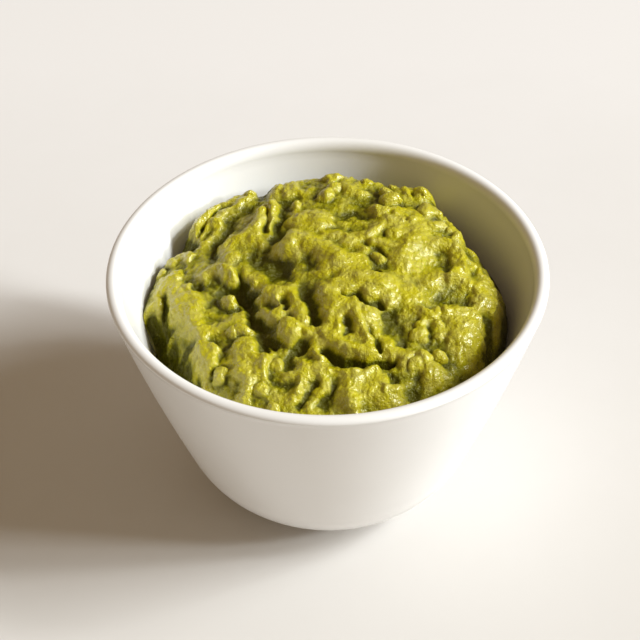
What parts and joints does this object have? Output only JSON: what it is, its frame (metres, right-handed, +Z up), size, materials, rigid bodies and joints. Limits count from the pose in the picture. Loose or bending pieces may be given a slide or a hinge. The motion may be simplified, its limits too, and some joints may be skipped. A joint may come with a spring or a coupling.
{
  "type": "guacamole in a bowl",
  "caption": "Small round white porcelain bowl with flared wall, rounded lip and foot ring, heaped with a chunky mashed avocado dip.",
  "frame": {"origin": "middle of the foot ring, on the table under the bowl", "axes": "+Z up through the middle of the bowl, and -Y towards the side where the heap is lower"},
  "size_m": [0.12, 0.12, 0.0755],
  "materials": {
    "porcelain": "glossy white glaze",
    "avocado": "moist"
  },
  "bodies": {
    "root": {"bowl": "porcelain", "guacamole": "avocado"}
  },
  "joints": []
}
